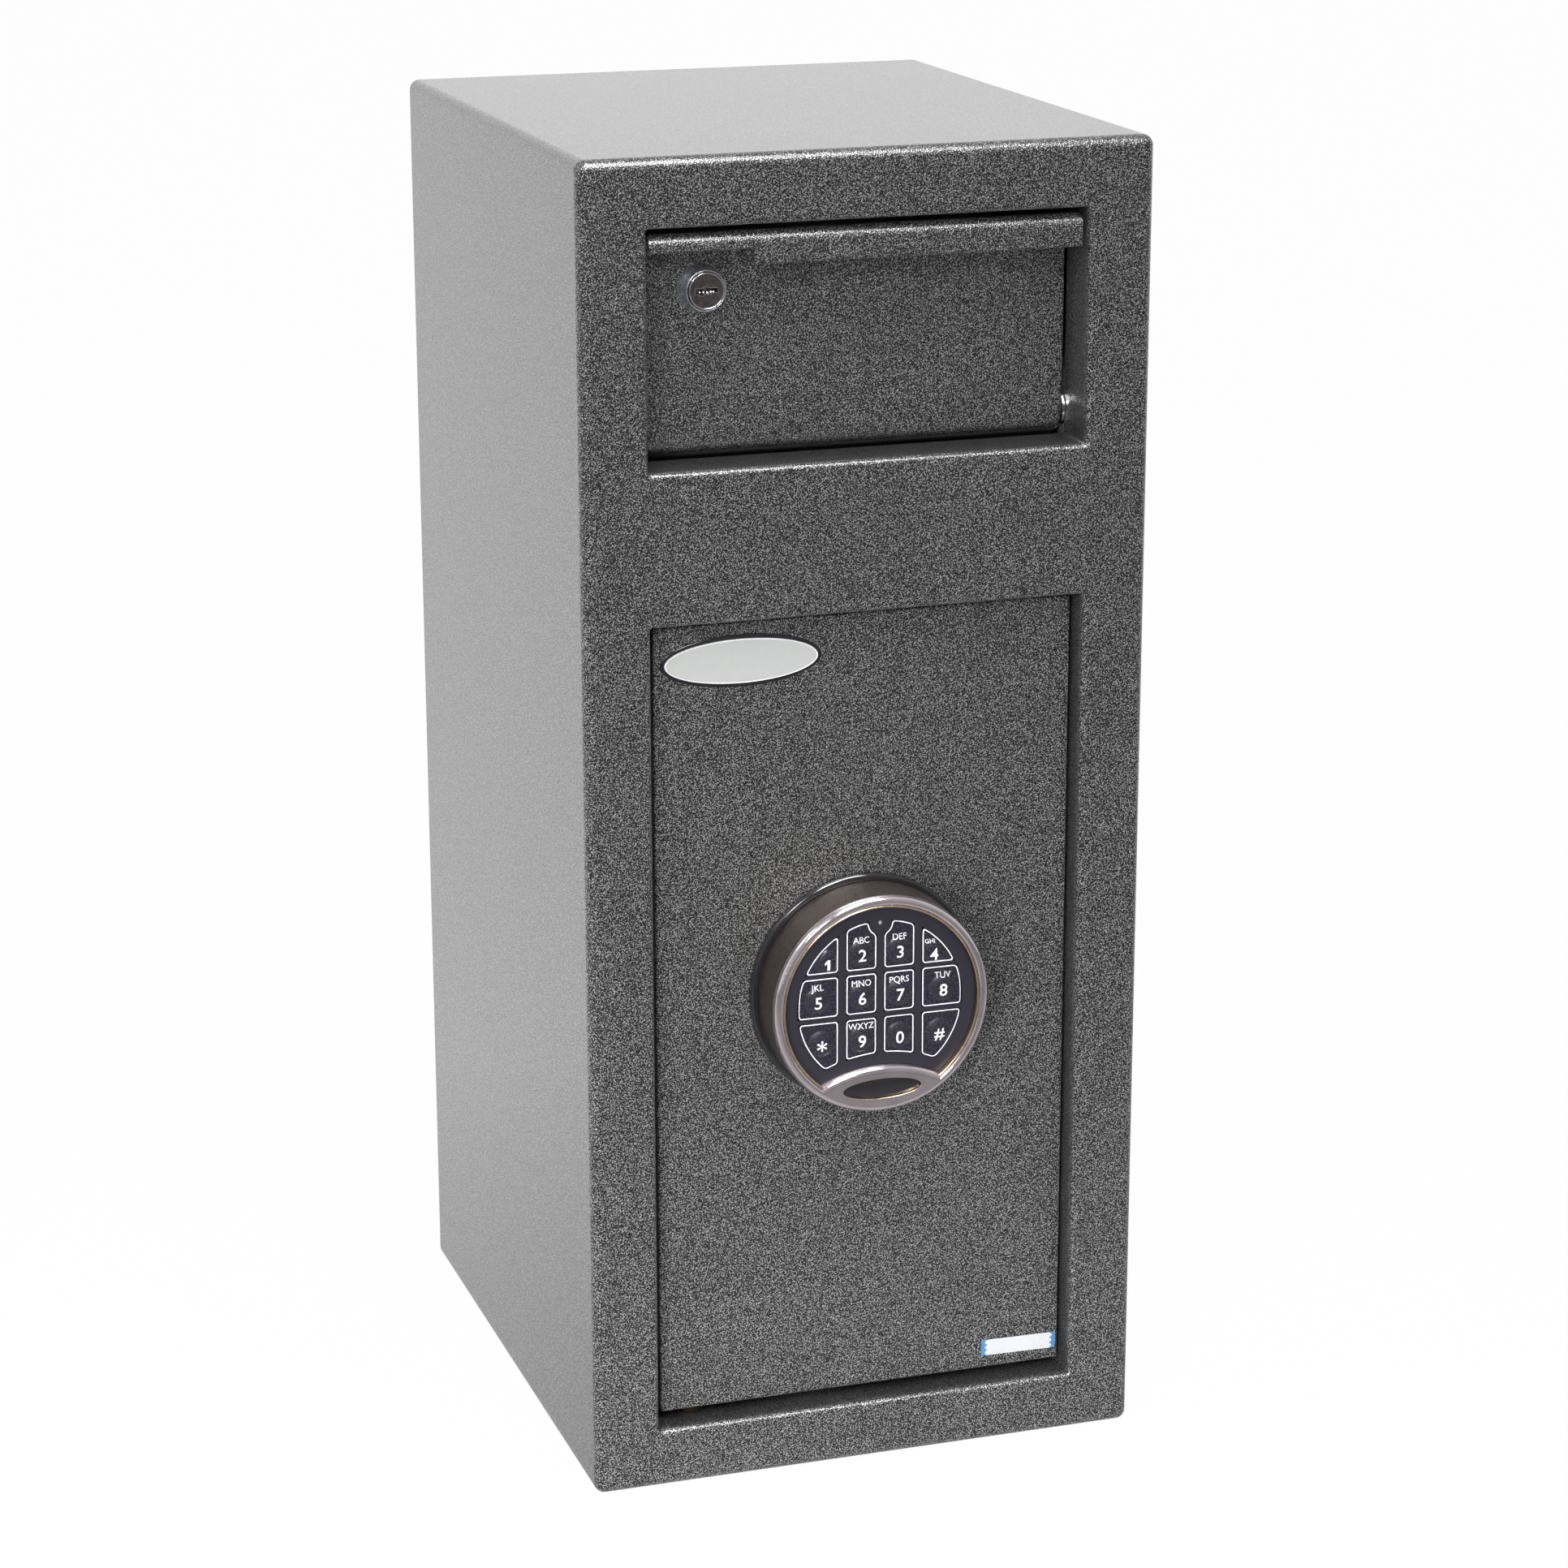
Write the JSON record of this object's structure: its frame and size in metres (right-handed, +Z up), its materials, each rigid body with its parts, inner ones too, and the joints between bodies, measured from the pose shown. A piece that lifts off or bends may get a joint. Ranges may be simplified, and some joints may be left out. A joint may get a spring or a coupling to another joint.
{
  "type": "deposit safe",
  "caption": "Tall free-standing deposit safe: a tilting hopper with a cam lock over a recessed door whose round keypad turns to throw the bolts.",
  "frame": {"origin": "centre of the cabinet's base face, on the floor", "axes": "+Z up, -Y towards the user (the door and hopper face -Y), +X to the right as seen from the front"},
  "size_m": [0.215, 0.265, 0.5],
  "materials": {
    "hammertone": "dark grey hammertone stove enamel, satin, with a fine bright worm-like speckle",
    "inner_paint": "dark grey satin paint",
    "zinc_plate": "zinc-plated steel",
    "chrome": "polished chrome",
    "lock_face": "dark brushed chrome",
    "brass": "plain brass",
    "die_cast": "as-cast light alloy",
    "coil_black": "black moulded plastic",
    "membrane": "near-black satin silicone with white printed outlines and digits",
    "gloss_black": "gloss black",
    "lamp": "clear lens, unlit",
    "circuit": "green solder mask",
    "cell_jacket": "plain dark cell jacket",
    "badge_silver": "silver-grey satin plate, bare",
    "label_paper": "silver-white label with pale blue ends, bare",
    "mat": "black needle felt"
  },
  "bodies": {
    "cabinet": {"body_shell": "hammertone", "rear_panel": "hammertone", "face_plate": "hammertone", "hopper_surround": "hammertone", "door_surround": "hammertone", "hopper_baffle": "inner_paint", "lock_strike": "zinc_plate", "hopper_brackets": "inner_paint", "hopper_pivots": "chrome", "floor_mat": "mat", "hinge_pin_lower": "zinc_plate", "hinge_pin_upper": "zinc_plate", "hinge_washers": "brass"},
    "door": {"door_panel": "hammertone", "door_hinge_lower": "inner_paint", "door_hinge_upper": "inner_paint", "fixed_dog_bar": "inner_paint", "inner_cover": "inner_paint", "cover_screws": "zinc_plate", "lock_case": "die_cast", "circuit_board": "circuit", "solenoid": "coil_black", "bolt_guide": "inner_paint", "guide_posts": "zinc_plate", "spindle_bearing": "brass", "keypad_base_ring": "coil_black", "badge_rim": "coil_black", "badge_plate": "badge_silver", "door_label": "label_paper"},
    "bolts": {"bolt_bar": "zinc_plate", "locking_bolt_upper": "zinc_plate", "locking_bolt_lower": "zinc_plate"},
    "plunger": {"solenoid_plunger": "zinc_plate"},
    "keypad": {"keypad_housing": "chrome", "keypad_membrane": "membrane", "keypad_plate": "gloss_black", "status_lamp": "lamp", "keypad_board": "circuit", "batteries": "cell_jacket", "keypad_spindle": "zinc_plate", "drive_pinion": "brass"},
    "hopper": {"hopper_front": "hammertone", "hopper_tray": "inner_paint", "cam_lock_housing": "chrome", "cam_lock_nut": "zinc_plate"},
    "lock_plug": {"cam_lock_plug": "lock_face", "lock_cam": "zinc_plate", "cam_screw": "zinc_plate"},
    "key_1_cap": {"key_1": "membrane"},
    "key_2_cap": {"key_2": "membrane"},
    "key_3_cap": {"key_3": "membrane"},
    "key_4_cap": {"key_4": "membrane"},
    "key_5_cap": {"key_5": "membrane"},
    "key_6_cap": {"key_6": "membrane"},
    "key_7_cap": {"key_7": "membrane"},
    "key_8_cap": {"key_8": "membrane"},
    "key_star_cap": {"key_star": "membrane"},
    "key_9_cap": {"key_9": "membrane"},
    "key_0_cap": {"key_0": "membrane"},
    "key_hash_cap": {"key_hash": "membrane"}
  },
  "joints": [
    {"name": "hopper_tilt", "type": "hinge", "parent": "cabinet", "child": "hopper", "pos_m": [0, -0.097, 0.398], "axis": [1, 0, 0], "range_deg": [0, 50]},
    {"name": "lock_turn", "type": "hinge", "parent": "hopper", "child": "lock_plug", "pos_m": [-0.0572, -0.1, 0.4505], "axis": [0, -1, 0], "range_deg": [0, 90]},
    {"name": "door_swing", "type": "hinge", "parent": "cabinet", "child": "door", "pos_m": [-0.0655, -0.107, 0.18], "axis": [0, 0, -1], "range_deg": [0, 95]},
    {"name": "keypad_turn", "type": "hinge", "parent": "door", "child": "keypad", "pos_m": [0, -0.116, 0.188], "axis": [0, -1, 0], "range_deg": [0, 90]},
    {"name": "bolt_throw", "type": "slide", "parent": "door", "child": "bolts", "axis": [1, 0, 0], "range_m": [0, 0.01415]},
    {"name": "plunger_drop", "type": "slide", "parent": "door", "child": "plunger", "axis": [0, 0, -1], "range_m": [0, 0.004], "stiffness_N_per_m": 60, "springref_m": -0.002},
    {"name": "key_1_press", "type": "slide", "parent": "keypad", "child": "key_1_cap", "axis": [0, 1, 0], "range_m": [0, 0.0008], "stiffness_N_per_m": 250, "springref_m": -0.0004},
    {"name": "key_2_press", "type": "slide", "parent": "keypad", "child": "key_2_cap", "axis": [0, 1, 0], "range_m": [0, 0.0008], "stiffness_N_per_m": 250, "springref_m": -0.0004},
    {"name": "key_3_press", "type": "slide", "parent": "keypad", "child": "key_3_cap", "axis": [0, 1, 0], "range_m": [0, 0.0008], "stiffness_N_per_m": 250, "springref_m": -0.0004},
    {"name": "key_4_press", "type": "slide", "parent": "keypad", "child": "key_4_cap", "axis": [0, 1, 0], "range_m": [0, 0.0008], "stiffness_N_per_m": 250, "springref_m": -0.0004},
    {"name": "key_5_press", "type": "slide", "parent": "keypad", "child": "key_5_cap", "axis": [0, 1, 0], "range_m": [0, 0.0008], "stiffness_N_per_m": 250, "springref_m": -0.0004},
    {"name": "key_6_press", "type": "slide", "parent": "keypad", "child": "key_6_cap", "axis": [0, 1, 0], "range_m": [0, 0.0008], "stiffness_N_per_m": 250, "springref_m": -0.0004},
    {"name": "key_7_press", "type": "slide", "parent": "keypad", "child": "key_7_cap", "axis": [0, 1, 0], "range_m": [0, 0.0008], "stiffness_N_per_m": 250, "springref_m": -0.0004},
    {"name": "key_8_press", "type": "slide", "parent": "keypad", "child": "key_8_cap", "axis": [0, 1, 0], "range_m": [0, 0.0008], "stiffness_N_per_m": 250, "springref_m": -0.0004},
    {"name": "key_star_press", "type": "slide", "parent": "keypad", "child": "key_star_cap", "axis": [0, 1, 0], "range_m": [0, 0.0008], "stiffness_N_per_m": 250, "springref_m": -0.0004},
    {"name": "key_9_press", "type": "slide", "parent": "keypad", "child": "key_9_cap", "axis": [0, 1, 0], "range_m": [0, 0.0008], "stiffness_N_per_m": 250, "springref_m": -0.0004},
    {"name": "key_0_press", "type": "slide", "parent": "keypad", "child": "key_0_cap", "axis": [0, 1, 0], "range_m": [0, 0.0008], "stiffness_N_per_m": 250, "springref_m": -0.0004},
    {"name": "key_hash_press", "type": "slide", "parent": "keypad", "child": "key_hash_cap", "axis": [0, 1, 0], "range_m": [0, 0.0008], "stiffness_N_per_m": 250, "springref_m": -0.0004}
  ],
  "couplings": [
    {"joint": "bolt_throw", "follows": "keypad_turn", "m_per_rad": 0.009}
  ]
}
